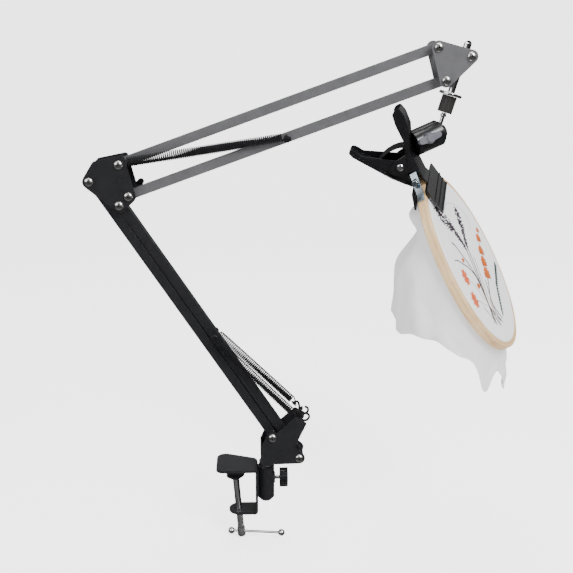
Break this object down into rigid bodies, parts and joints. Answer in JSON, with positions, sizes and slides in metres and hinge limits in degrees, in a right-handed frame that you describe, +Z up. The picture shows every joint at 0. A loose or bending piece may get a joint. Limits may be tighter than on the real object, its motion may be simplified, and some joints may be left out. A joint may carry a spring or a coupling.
{
  "type": "embroidery hoop on stand",
  "caption": "Round wooden embroidery hoop held by a wide spring clip on a spring-balanced double parallelogram arm that clamps to a table edge.",
  "frame": {"origin": "on the underside of the clamp plate, which rests on the table top, 40 mm from the swivel axis", "axes": "+Z up along the swivel post, +X from the clamp throat towards the side the head hangs on, arms in the XZ plane, +Y away from the viewer of the front"},
  "size_m": [0.4748, 0.1989, 0.5616],
  "materials": {
    "dark_paint": "satin black enamel",
    "grey_paint": "satin dark grey enamel",
    "chrome": "polished chrome plate",
    "nickel": "bright nickel plate",
    "black_wire": "glossy black enamelled spring wire",
    "black_plastic": "glossy black moulded plastic",
    "grey_plastic": "dark grey moulded plastic",
    "brown_plastic": "dark brown ribbed plastic",
    "rubber_pad": "black rubber",
    "wood": "pale sanded beech",
    "zinc": "bright zinc plate",
    "cloth": "white cotton cloth with embroidery"
  },
  "bodies": {
    "clamp": {"clamp_frame": "dark_paint"},
    "clamp_foot": {"pressure_pad": "black_plastic"},
    "clamp_spindle": {"clamp_screw": "chrome"},
    "handle": {"tommy_bar": "chrome"},
    "lock": {"lock_knob": "black_plastic"},
    "swivel": {"swivel_post": "chrome", "base_bracket": "dark_paint", "spring_hook_front": "black_wire", "spring_hook_rear": "black_wire", "base_bolt_left": "nickel", "base_bolt_right": "nickel", "base_nut_left": "nickel", "base_nut_right": "nickel"},
    "lower_arm": {"lower_bar_left": "dark_paint"},
    "lower_link": {"lower_bar_right": "dark_paint"},
    "lower_spring_swing": {"lower_spring_pin": "black_plastic"},
    "lower_spring_stretch": {"lower_spring_front": "black_wire", "lower_spring_rear": "black_wire"},
    "elbow": {"elbow_plate_front": "dark_paint", "elbow_plate_rear": "dark_paint", "elbow_bolt_left": "nickel", "elbow_bolt_right": "nickel", "elbow_bolt_top": "nickel", "elbow_bolt_bottom": "nickel", "elbow_nut_left": "nickel", "elbow_nut_right": "nickel", "elbow_nut_top": "nickel"},
    "elbow_wing": {"elbow_wing_nut": "black_plastic"},
    "upper_arm": {"upper_bar_top": "grey_paint"},
    "upper_link": {"upper_bar_bottom": "grey_paint", "upper_spring_pin": "black_plastic"},
    "upper_spring_stretch": {"upper_spring_front": "black_wire", "upper_spring_rear": "black_wire"},
    "end": {"end_plate_front": "grey_paint", "end_plate_rear": "grey_paint", "end_bolt_top": "nickel", "end_bolt_bottom": "nickel", "end_nut_top": "nickel", "end_nut_bottom": "nickel", "tilt_bolt": "nickel"},
    "tilt_wing": {"tilt_wing_nut": "black_plastic"},
    "tilt": {"tilt_rod": "chrome", "rod_flange": "chrome"},
    "head": {"rod_adapter": "brown_plastic", "ball_stud": "chrome"},
    "grip": {"ball_housing": "black_plastic", "clip_jaw_front": "black_plastic", "clip_pivot_screw": "chrome", "clip_spring": "black_wire", "jaw_pad_front": "rubber_pad", "hoop_outer_ring": "wood", "hoop_inner_ring": "wood", "hoop_lug_left": "zinc", "hoop_lug_right": "zinc", "embroidered_cloth": "cloth"},
    "ball_lock": {"ball_wing_knob": "grey_plastic"},
    "clip_lever": {"clip_jaw_rear": "black_plastic", "jaw_pad_rear": "rubber_pad"},
    "hoop_closer": {"hoop_screw": "zinc"}
  },
  "joints": [
    {"name": "clamp_travel", "type": "slide", "parent": "clamp", "child": "clamp_foot", "axis": [-0.0819, 0, 0.9966], "range_m": [-0.026, 0.009]},
    {"name": "clamp_screw_turn", "type": "hinge", "parent": "clamp_foot", "child": "clamp_spindle", "pos_m": [0.0084, 0, -0.055], "axis": [-0.0819, 0, 0.9966], "range_deg": [-4700, 1640]},
    {"name": "tommy_slide", "type": "slide", "parent": "clamp_spindle", "child": "handle", "axis": [0.9627, -0.2588, 0.0791], "range_m": [-0.036, 0]},
    {"name": "lock_turn", "type": "hinge", "parent": "clamp", "child": "lock", "pos_m": [0.056, 0, -0.0165], "axis": [1, 0, 0], "range_deg": [-90, 180]},
    {"name": "base_swivel", "type": "hinge", "parent": "clamp", "child": "swivel", "pos_m": [0.04, 0, 0], "axis": [0, 0, 1], "continuous": true},
    {"name": "lower_arm_swing", "type": "hinge", "parent": "swivel", "child": "lower_arm", "pos_m": [0.0473, 0, 0.039], "axis": [0, -1, 0], "range_deg": [-45, 2], "stiffness_Nm_per_rad": 8, "springref_deg": 0.79},
    {"name": "lower_link_swing", "type": "hinge", "parent": "swivel", "child": "lower_link", "pos_m": [0.0775, 0, 0.014], "axis": [0, -1, 0], "range_deg": [-45, 2], "stiffness_Nm_per_rad": 3, "springref_deg": -2.86},
    {"name": "lower_spring_lean", "type": "hinge", "parent": "lower_link", "child": "lower_spring_swing", "pos_m": [-0.01559, 0, 0.15625], "axis": [0, -1, 0], "range_deg": [-22, 2], "stiffness_Nm_per_rad": 1, "springref_deg": 2.45},
    {"name": "lower_spring_pull", "type": "slide", "parent": "lower_spring_swing", "child": "lower_spring_stretch", "axis": [0.7089, 0, -0.7054], "range_m": [-0.011, 0.002], "stiffness_N_per_m": 120, "springref_m": -0.00571, "deforming": ["lower_spring_front", "lower_spring_rear"]},
    {"name": "elbow_level", "type": "hinge", "parent": "lower_arm", "child": "elbow", "pos_m": [-0.14216, 0, 0.32852], "axis": [0, -1, 0], "range_deg": [-2, 45], "stiffness_Nm_per_rad": 8, "springref_deg": 10.48},
    {"name": "elbow_wing_turn", "type": "hinge", "parent": "elbow", "child": "elbow_wing", "pos_m": [-0.10186, 0, 0.31302], "axis": [0, -1, 0], "range_deg": [-90, 90]},
    {"name": "upper_arm_swing", "type": "hinge", "parent": "elbow", "child": "upper_arm", "pos_m": [-0.11086, 0, 0.34602], "axis": [0, -1, 0], "range_deg": [-35, 8], "stiffness_Nm_per_rad": 8, "springref_deg": 6.81},
    {"name": "upper_link_swing", "type": "hinge", "parent": "elbow", "child": "upper_link", "pos_m": [-0.10186, 0, 0.31302], "axis": [0, -1, 0], "range_deg": [-35, 8], "stiffness_Nm_per_rad": 3, "springref_deg": 5.53},
    {"name": "upper_spring_pull", "type": "slide", "parent": "upper_link", "child": "upper_spring_stretch", "axis": [-0.9888, 0, -0.149], "range_m": [-0.008, 0.022], "stiffness_N_per_m": 60, "springref_m": -0.00346, "deforming": ["upper_spring_front", "upper_spring_rear"]},
    {"name": "end_level", "type": "hinge", "parent": "upper_arm", "child": "end", "pos_m": [0.21772, 0, 0.46367], "axis": [0, -1, 0], "range_deg": [-8, 35], "stiffness_Nm_per_rad": 2, "springref_deg": 0.91},
    {"name": "tilt_wing_turn", "type": "hinge", "parent": "end", "child": "tilt_wing", "pos_m": [0.25162, 0, 0.45477], "axis": [0, -1, 0], "range_deg": [-90, 90]},
    {"name": "head_tilt", "type": "hinge", "parent": "end", "child": "tilt", "pos_m": [0.25162, 0, 0.45477], "axis": [0, -1, 0], "range_deg": [-3, 60], "stiffness_Nm_per_rad": 4, "springref_deg": -0.49},
    {"name": "rod_turn", "type": "hinge", "parent": "tilt", "child": "head", "pos_m": [0.2348, 0, 0.4164], "axis": [0.2924, 0, 0.9563], "range_deg": [0, 150], "stiffness_Nm_per_rad": 2, "springref_deg": -0.09},
    {"name": "ball_tilt", "type": "hinge", "parent": "head", "child": "grip", "pos_m": [0.22261, 0, 0.37652], "axis": [0.3922, -0.912, -0.1199], "range_deg": [-4, 18], "stiffness_Nm_per_rad": 4, "springref_deg": 0.01},
    {"name": "ball_knob_turn", "type": "hinge", "parent": "grip", "child": "ball_lock", "pos_m": [0.20586, -0.00637, 0.37021], "axis": [0.2918, -0.9403, 0.1751], "range_deg": [-90, 90]},
    {"name": "clip_open", "type": "hinge", "parent": "grip", "child": "clip_lever", "pos_m": [0.1843, -0.0085, 0.34705], "axis": [0.2287, 0.9355, 0.2692], "range_deg": [0, 25], "deforming": ["clip_spring"]},
    {"name": "hoop_screw_turn", "type": "hinge", "parent": "grip", "child": "hoop_closer", "pos_m": [0.19814, -0.02101, 0.33353], "axis": [0.2196, 0.9337, 0.2829], "range_deg": [-720, 360]}
  ],
  "couplings": [
    {"joint": "clamp_screw_turn", "follows": "clamp_travel", "rad_per_m": 3141.6},
    {"joint": "lower_link_swing", "follows": "lower_arm_swing", "ratio": 1},
    {"joint": "elbow_level", "follows": "lower_arm_swing", "ratio": -1},
    {"joint": "lower_spring_lean", "follows": "lower_arm_swing", "ratio": 0.43},
    {"joint": "lower_spring_pull", "follows": "lower_arm_swing", "m_per_rad": 0.010886},
    {"joint": "upper_link_swing", "follows": "upper_arm_swing", "ratio": 1},
    {"joint": "end_level", "follows": "upper_arm_swing", "ratio": -1},
    {"joint": "upper_spring_pull", "follows": "upper_arm_swing", "m_per_rad": -0.032086}
  ]
}
